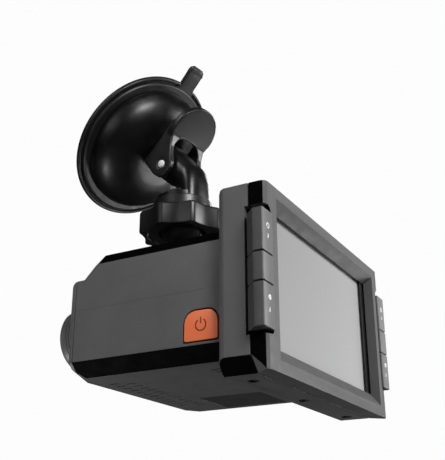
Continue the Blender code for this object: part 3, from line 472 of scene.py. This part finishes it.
def make_dome():
    """The shell behind the rubber, open in the middle for the plunger."""
    outer = [(25.0, 2.6), (24.9, 3.6), (24.2, 5.4), (22.2, 8.3), (19.0, 10.8)]
    outer += [(15.0, 12.7), (11.0, 13.6), (8.0, DOME_TOP)]
    inner = [(8.0, DOME_INSIDE), (13.6, 10.6), (17.4, 9.2), (20.4, 7.2), (22.2, 5.0), (23.2, 2.6)]
    profile = [(DOME_HOLE_R, DOME_TOP)] + eased(outer[::-1], 5) + inner[::-1]
    profile.append((DOME_HOLE_R, DOME_INSIDE))
    turned("dome_shell", in_mm(profile), "gloss", "cup_housing", CUP)


def make_pin():
    """A bright pin with domed ends."""
    low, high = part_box("lever_pin")
    length = (high - low).x / JOINTS["lever_hinge"]["axis"][0] / MM
    half = length / 2 - PIN_INSET
    profile = [(0, half), (PIN_R - 0.6, half - 0.08), (PIN_R - 0.2, half - 0.3), (PIN_R, half - 0.6)]
    profile += [(radius, -height) for radius, height in profile[::-1]]
    place = CUP @ Matrix.Translation(PIN_CENTRE) @ Matrix.Rotation(math.pi / 2, 4, "Y")
    turned("pin_piece", in_mm(profile), "pin", "lever_pin", place, 32)


# Locking nut: radii and depths in millimetres
NUT_TIP_R, NUT_COLLAR_R, NUT_BORE_R, NUT_LIP_R = 16.1, 11.0, 10.5, 8.9
NUT_GRIP_HEIGHT = 8.7 * MM
NUT_LOBES, STEPS_PER_LOBE = 8, 24
SCALLOP_DEPTH = 1.85
RIDGE_HALF = math.radians(2.8)


def make_nut():
    """The scalloped nut: flat-topped lobes, a smooth collar and a thin lip under the ball's middle."""
    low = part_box("locking_nut")[0].z
    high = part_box("locking_nut")[1].z
    grip_top = low + NUT_GRIP_HEIGHT
    # radius, height, how much the scallops show
    levels = [
        (NUT_BORE_R, high, 0),
        (NUT_COLLAR_R - 0.25, high, 0),
        (NUT_COLLAR_R, high - 0.25 * MM, 0),
        (NUT_COLLAR_R, grip_top + 0.5 * MM, 0),
        (NUT_COLLAR_R + 0.5, grip_top, 0),
        (NUT_TIP_R - 1.5, grip_top - 0.05 * MM, 0.75),
        (NUT_TIP_R - 0.5, grip_top - 0.35 * MM, 0.95),
        (NUT_TIP_R, grip_top - 1.1 * MM, 1),
        (NUT_TIP_R, low + 0.5 * MM, 1),
        (NUT_TIP_R - 0.15, low + 0.15 * MM, 1),
        (NUT_TIP_R - 0.5, low, 1),
        (NUT_LIP_R + 4.2, low + 0.1 * MM, 0.1),
        (NUT_LIP_R + 3.6, low + 1.0 * MM, 0),
        (NUT_LIP_R, low + 1.1 * MM, 0),
        (NUT_LIP_R, low + 1.6 * MM, 0),
        (NUT_BORE_R, low + 1.6 * MM, 0),
    ]
    steps = NUT_LOBES * STEPS_PER_LOBE
    pitch = 2 * math.pi / NUT_LOBES
    bm = bmesh.new()
    rings = []
    for radius, height, depth in levels:
        ring = []
        for index in range(steps):
            angle = 2 * math.pi * index / steps
            off_ridge = abs((angle + pitch / 2) % pitch - pitch / 2)
            share = min(1.0, (pitch / 2 - off_ridge) / (pitch / 2 - RIDGE_HALF))
            reach = (radius - SCALLOP_DEPTH * depth * (1 - share * share)) * MM
            ring.append(bm.verts.new((reach * math.cos(angle), reach * math.sin(angle), height)))
        rings.append(ring)
    skin(bm, rings, around=True)
    bm.transform(Matrix.Translation((BALL_CENTRE.x, BALL_CENTRE.y, 0)))
    settle(new_piece("nut_piece", bm, "satin"), "locking_nut", 28)


def carve(piece, *cutters):
    """Takes the cutters out of a finished piece, for good."""
    for cutter in cutters:
        cut = piece.modifiers.new("cut", "BOOLEAN")
        cut.operation = "DIFFERENCE"
        cut.solver = "EXACT"
        cut.object = cutter
    bpy.context.view_layer.update()
    graph = bpy.context.evaluated_depsgraph_get()
    mesh = bpy.data.meshes.new_from_object(piece.evaluated_get(graph))
    piece.modifiers.clear()
    piece.data = mesh
    for cutter in cutters:
        bpy.data.objects.remove(cutter)
    return piece


def rod_cutter(radius, start, end):
    """A round rod between two points of the cup's frame."""
    span = end - start
    place = CUP @ Matrix.Translation((start + end) / 2) @ span.to_track_quat("Z", "Y").to_matrix().to_4x4()
    bm = bmesh.new()
    bmesh.ops.create_cone(
        bm, cap_ends=True, segments=48, radius1=radius, radius2=radius, depth=span.length
    )
    bm.transform(place)
    return new_piece("cutter", bm, "arm")


# Arm: half its width, its squareness, and the holes for the plunger and the pin
ARM_HALF = 6.6 * MM
ARM_SQUARENESS = 0.9
ARM_CORNERS = 48
PLUNGER_BORE_R, PLUNGER_BORE = 3.3 * MM, (13 * MM, 29 * MM)
PIN_SLOT_R, PIN_SLOT_REACH = 1.9 * MM, 20 * MM
PIN_SLOT_STEPS = (-1.2 * MM, -2.6 * MM, 0.5 * MM)


def make_arm():
    """A round elbow tube from the dome to the crown, with the collet below it."""
    # each station: its rear and its front edge, as (up the glass, off it) for the hub
    hub = [((8.2, 14.1), (-5.0, 14.1)), ((8.2, 18.0), (-5.0, 17.5)), ((8.2, 23.0), (-5.0, 21.5))]
    # the same for the leg, as (behind the nut's axis, above the ball)
    leg = [
        ((-6.0, 24.2), (4.6, 17.6)),
        ((-8.6, 21.0), (0.8, 15.6)),
        ((-9.8, 17.0), (-1.6, 13.2)),
        ((-10.1, 12.0), (-2.6, 10.4)),
        ((-10.1, 8.9), (-2.6, 8.9)),
    ]
    across = CUP.to_3x3() @ ACROSS
    forward = UP.cross(across)
    edges = []
    for which in (0, 1):
        edge = [CUP @ Vector((0, station[which][0] * MM, station[which][1] * MM)) for station in hub]
        for station in leg:
            ahead, above = station[which]
            edge.append(BALL_CENTRE + forward * ahead * MM + UP * above * MM)
        edges.append(eased(edge, 6))
    bm = bmesh.new()
    rings = []
    for first, last in zip(*edges):
        first, last = Vector(first), Vector(last)
        centre, reach = (first + last) / 2, (first - last) / 2
        ring = []
        for index in range(ARM_CORNERS):
            angle = 2 * math.pi * index / ARM_CORNERS
            side = squared(math.sin(angle), ARM_SQUARENESS)
            ahead = squared(math.cos(angle), ARM_SQUARENESS)
            ring.append(bm.verts.new(centre + reach * ahead + across * side * ARM_HALF))
        rings.append(ring)
    skin(bm, rings)
    tube = new_piece("elbow_tube", bm, "arm")
    up_glass, off_glass = PIN_CENTRE.y, PIN_CENTRE.z
    start, end = (Vector((0, up_glass, height)) for height in PLUNGER_BORE)
    cutters = [rod_cutter(PLUNGER_BORE_R, start, end)]
    for step in PIN_SLOT_STEPS:
        start, end = (Vector((x, up_glass, off_glass + step)) for x in (-PIN_SLOT_REACH, PIN_SLOT_REACH))
        cutters.append(rod_cutter(PIN_SLOT_R, start, end))
    settle(carve(tube, *cutters), "mount_arm", 40)
    make_collet()


def make_collet():
    """The crown over the ball and the sleeve that the nut turns on, without its slots."""
    angles = [math.radians(angle) for angle in range(0, 100, 8)]
    socket = [(SOCKET_R * math.sin(angle), SOCKET_R * math.cos(angle)) for angle in angles]
    outer = [(10.2, SLEEVE_LOW), (10.2, 8.6), (10.1, 8.9), (9.9, 9.1)]
    outer += [(9.9, 10.6), (9.5, 10.95), (8.6, 11.1), (0, 11.1)]
    profile = socket + [(8.8, SLEEVE_LOW)] + outer
    turned("collet_sleeve", in_mm(profile), "arm", "mount_arm", Matrix.Translation(BALL_CENTRE), 96)


def make_ball():
    """The bare ball. The stem under it is the docking shoe's."""
    bm = bmesh.new()
    bmesh.ops.create_uvsphere(bm, u_segments=64, v_segments=40, radius=BALL_R)
    bm.transform(Matrix.Translation(BALL_CENTRE))
    settle(new_piece("ball_piece", bm, "satin"), "ball")


def make_mount():
    make_rubber()
    make_dome()
    make_pin()
    make_nut()
    make_ball()
    make_arm()
    melted("cam_lever", "satin", 0.22 * MM, 36)
    refined("mount_shoe", "satin", 0.2 * MM)
    refined("dock_rail", "satin", 0.3 * MM)


# ---------------------------------------------------------------- device

BAND_WIDTH = 4.5 * MM
# Parts of a face's normal: below the first it lies along an axis, above the others it slants or faces it
ALONG_MOST, SLANT_LEAST, FACING_LEAST, KEY_FRONT_LEAST = 0.3, 0.45, 0.5, 0.9


def slanted(face):
    """The long 45 degree edges, which get painted shade."""
    normal = face.normal
    return abs(normal.y) < ALONG_MOST and min(abs(normal.x), abs(normal.z)) > SLANT_LEAST


# Only the lower slanted edges, which get painted shade
def lower_slant(face):
    return slanted(face) and face.normal.z < 0


def bezel_side(face):
    """Painted shade: a near-black band round the bezel's two sides, behind its front fillet."""
    normal = face.normal
    outer = face.calc_center_median().x - DEVICE.x
    edge = min(outer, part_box("front_bezel")[1].x - DEVICE.x - outer)
    return edge < BAND_WIDTH and abs(normal.x) > FACING_LEAST and abs(normal.y) < FACING_LEAST


# Faces of a key that don't face forward, its sides, which get painted shade
def painted_shade_key_side(face):
    return abs(face.normal.y) < KEY_FRONT_LEAST


def make_keys():
    for side in ("left", "right"):
        for place in ("lower", "middle", "upper"):
            key = refined(f"{side}_{place}_button", "key", 0.45 * MM, 3, painted_shade_key_side)
            # The sides take the darker key grey as painted shade
            key.data.materials[1] = LOOKS["painted_shade_key_side"]
        make_key_marks(side)


def wire(name, points, radius, look, node):
    """A thin raised line through the points, half sunk in the surface it marks."""
    curve = bpy.data.curves.new(name, "CURVE")
    curve.dimensions = "3D"
    curve.bevel_depth = radius
    curve.bevel_resolution = 2
    curve.use_fill_caps = True
    spline = curve.splines.new("POLY")
    spline.points.add(len(points) - 1)
    for point, place in zip(spline.points, points):
        point.co = (*place, 1)
    curve.materials.append(LOOKS[look])
    piece = bpy.data.objects.new(name, curve)
    scene.collection.objects.link(piece)
    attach(piece, BODY_OF[node])
    return piece


def arc_points(centre, radius, start, end, first, second, steps=20):
    """Points of an arc in the plane of two unit vectors, from start to end in degrees."""
    found = []
    for index in range(steps + 1):
        angle = math.radians(start + (end - start) * index / steps)
        found.append(centre + (first * math.cos(angle) + second * math.sin(angle)) * radius)
    return found


# height of the ring and of the tick as shares of the key's, ring radius, ring line width
KEY_MARKS = {
    "upper": (0.62, 0.34, 0.75 * MM, 0.20 * MM),
    "lower": (0.68, 0.36, 0.55 * MM, 0.34 * MM),
}
MARK_SINK = 0.05 * MM
TICK_LINE = 0.20 * MM
TICK_START, TICK_RUN, TICK_RISE = 0.6 * MM, 0.7 * MM, 1.1 * MM


def make_key_marks(side):
    """Plain marks on the keys: a ring or a dot, with a tick under it."""
    for place, (ring_share, tick_share, radius, line) in KEY_MARKS.items():
        node = f"{side}_{place}_button"
        low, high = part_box(node)
        face = Vector(((low.x + high.x) / 2, low.y + MARK_SINK, 0))
        centre = face + UP * (low.z + (high.z - low.z) * ring_share)
        wire(f"{side}_{place}_ring", arc_points(centre, radius, 0, 350, ACROSS, UP), line, "mark", node)
        start = face + UP * (low.z + (high.z - low.z) * tick_share) - ACROSS * TICK_START
        bend = start + ACROSS * TICK_RUN
        wire(f"{side}_{place}_tick", [start, bend, bend + UP * TICK_RISE], TICK_LINE, "mark", node)


POWER_MARK_R, POWER_MARK_LINE = 1.75 * MM, 0.2 * MM
POWER_MARK_ARC = (125, 415)
POWER_BAR = (0.4 * MM, 2.3 * MM)
POWER_MARK_SINK, POWER_MARK_LIFT = 0.02 * MM, 0.1 * MM


def make_power_button():
    """The orange button, with a ring that is open at the top and a bar through the opening."""
    node = "power_button"
    refined(node, "orange", 0.12 * MM, 2)
    low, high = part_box(node)
    middle = (low + high) / 2
    centre = Vector((low.x + POWER_MARK_SINK, middle.y, middle.z + POWER_MARK_LIFT))
    ring = arc_points(centre, POWER_MARK_R, *POWER_MARK_ARC, ALONG, UP, 32)
    wire("power_ring", ring, POWER_MARK_LINE, "power_mark", node)
    wire("power_bar", [centre + UP * height for height in POWER_BAR], POWER_MARK_LINE, "power_mark", node)


# Screw head profile as (radius, height) in millimetres, and the cross of painted shade in its recess
SCREW_HEAD = [(0, 1.0), (1.6, 1.0), (1.72, 0.8), (1.72, 0.35), (1.5, 0.1), (1.0, 0.02)]
SCREW_HEAD += [(0.9, 0.02), (0.5, 0.5), (0, 0.6)]
CROSS_DEPTH, CROSS_HALF, CROSS_LINE = 0.14 * MM, 0.85 * MM, 0.16 * MM


def make_screws():
    """Round heads with a cone recess and a near-black cross of painted shade, sunk in the display's underside."""
    for index in (1, 2, 3):
        node = f"case_screw_{index}"
        low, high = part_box(node)
        centre = (low + high) / 2
        place = Matrix.Translation((centre.x, centre.y, low.z))
        turned(f"screw_head_{index}", in_mm(SCREW_HEAD), "screw", node, place, 40)
        for turn, direction in (("a", ACROSS), ("b", ALONG)):
            middle = Vector((centre.x, centre.y, low.z + CROSS_DEPTH))
            line = [middle - direction * CROSS_HALF, middle + direction * CROSS_HALF]
            # The cross is near-black lines, painted shade standing for the recess's slots
            wire(f"screw_slot_{index}_{turn}", line, CROSS_LINE, "trim", node)


RING_COUNT, RING_START, RING_PITCH, RING_DEPTH = 5, 3.0, 1.0, 0.16


def make_lens():
    """The barrel with fine rings round its front edge."""
    low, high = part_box("lens_barrel")
    radius = (high.x - low.x) / 2 / MM
    front = (high.y - low.y) / 2 / MM
    bowl = [(0, 4.0), (6.6, 4.0), (7.0, 3.0), (7.4, 2.0), (7.9, 1.0), (8.4, 0.1), (8.9, 0)]
    profile = [(reach, front - depth) for reach, depth in bowl]
    profile += [(radius - 0.6, front - 0.15), (radius - 0.15, front - 0.6), (radius, front - 1.4)]
    for ring in range(RING_COUNT):
        y = front - RING_START - ring * RING_PITCH
        groove = radius - RING_DEPTH
        profile += [(radius, y), (groove, y - 0.15), (groove, y - 0.35), (radius, y - 0.5)]
    profile += [(radius, -front), (0, -front)]
    place = Matrix.Translation((low + high) / 2) @ Matrix.Rotation(-math.pi / 2, 4, "X")
    turned("lens_piece", in_mm(profile), "barrel", "lens_barrel", place, 96)


def make_device():
    # The faces that slanted, lower_slant and bezel_side pick get painted shade
    refined("front_bezel", "bezel", 0.22 * MM, 3, bezel_side)
    refined("rear_shell", "body", 0.25 * MM, 2, lower_slant)
    refined("upper_shell", "body", 0.04 * MM, 2, slanted, -0.13 * MM)
    refined("lower_shell", "body", 0.04 * MM, 2, slanted, 0.13 * MM)
    refined("front_cover", "body", 0.3 * MM, 2)
    make_keys()
    make_power_button()
    make_screws()
    make_lens()


# ---------------------------------------------------------------- studio

# Camera at the photograph's angle, from the display's lower left corner
CAMERA_OFFSET = Vector((-195.69, -94.28, -47.69)) * MM
CAMERA_TURN = (111.979, 0.183, -60.912)
CAMERA_LENS, CAMERA_SENSOR = 64.1, 36

BACKDROP_STRENGTH, REFLECTED_STRENGTH = 0.98, 0.02
FLOOR_GREY = (0.30, 0.30, 0.30)
FLOOR_TINTS = ((0.972,) * 3, (0.984,) * 3)
FLOOR_Z, FLOOR_HALF = -1.2, 20.0

AT_SCREEN, AT_CUP = (0.0, -0.07, -0.08), (0.0, 0.0, 0.0)
# place, target, size in metres, watts
SOFTBOXES = {
    "key": ((0.40, -0.60, 0.04), AT_SCREEN, (0.30, 0.30), 3.4),
    "left": ((-0.38, -0.60, 0.24), AT_SCREEN, (0.24, 0.24), 4.4),
    "side": ((-0.70, 0.02, 0.02), AT_SCREEN, (0.30, 0.30), 0.5),
    "rim": ((-0.40, 0.15, 0.40), AT_CUP, (0.15, 0.30), 0.8),
    "right_rim": ((0.50, -0.02, 0.10), AT_CUP, (0.06, 0.40), 1.4),
    "right_low": ((0.22, -0.16, -0.20), (0.05, -0.07, -0.10), (0.06, 0.06), 0.26),
    "low_front": ((-0.07, 0.07, -0.20), (-0.03, -0.01, -0.10), (0.05, 0.05), 0.09),
}


def make_camera():
    camera = bpy.data.cameras.new("camera")
    camera.sensor_fit = "VERTICAL"
    camera.sensor_height = CAMERA_SENSOR
    camera.lens = CAMERA_LENS
    camera.clip_start = 0.01
    holder = bpy.data.objects.new("camera", camera)
    holder.location = DEVICE + CAMERA_OFFSET
    holder.rotation_euler = [math.radians(angle) for angle in CAMERA_TURN]
    scene.collection.objects.link(holder)
    scene.camera = holder


def softbox(name, place, target, size, watts):
    light = bpy.data.lights.new(name, "AREA")
    light.shape = "RECTANGLE"
    light.size, light.size_y = size
    light.energy = watts
    holder = bpy.data.objects.new(name, light)
    holder.location = place
    aim = Vector(target) - Vector(place)
    holder.rotation_euler = aim.to_track_quat("-Z", "Y").to_euler()
    holder.visible_camera = False
    scene.collection.objects.link(holder)


def for_camera(tree, seen, otherwise, output):
    """Shows one shader to the camera itself and the other to every other ray."""
    path = tree.nodes.new("ShaderNodeLightPath")
    mix = tree.nodes.new("ShaderNodeMixShader")
    link(tree, path, "Is Camera Ray", mix, "Fac")
    link(tree, otherwise, 0, mix, 1)
    link(tree, seen, 0, mix, 2)
    link(tree, mix, "Shader", output, "Surface")


def make_world():
    """White behind the object, dim grey for what the surfaces reflect."""
    world = bpy.data.worlds.new("studio")
    world.use_nodes = True
    tree = world.node_tree
    seen = tree.nodes.new("ShaderNodeBackground")
    dim = tree.nodes["Background"]
    for background, strength in ((seen, BACKDROP_STRENGTH), (dim, REFLECTED_STRENGTH)):
        background.inputs["Color"].default_value = (1, 1, 1, 1)
        background.inputs["Strength"].default_value = strength
    for_camera(tree, seen, dim, tree.nodes["World Output"])
    scene.world = world


def floor_paper():
    """Pale paper that throws next to no light back up at the object."""
    material = plastic("floor_paper", FLOOR_GREY, 0.9, variation=0.02)
    tree = material.node_tree
    tint = noisy(tree, 3, 4, *FLOOR_TINTS)
    glow = tree.nodes.new("ShaderNodeEmission")
    link(tree, tint, "Color", glow, "Color")
    for_camera(tree, glow, tree.nodes["Principled BSDF"], tree.nodes["Material Output"])
    return material


def make_floor():
    bm = bmesh.new()
    bmesh.ops.create_grid(bm, x_segments=4, y_segments=4, size=FLOOR_HALF)
    bm.transform(Matrix.Translation((0, 0, FLOOR_Z)))
    mesh = bpy.data.meshes.new("floor")
    bm.to_mesh(mesh)
    bm.free()
    mesh.materials.append(floor_paper())
    floor = bpy.data.objects.new("floor", mesh)
    scene.collection.objects.link(floor)


def make_studio():
    make_camera()
    make_world()
    make_floor()
    for name, (place, target, size, watts) in SOFTBOXES.items():
        softbox(name, place, target, size, watts)
    scene.view_settings.view_transform = "Standard"


dress_cad_nodes()
make_mount()
make_device()
make_studio()
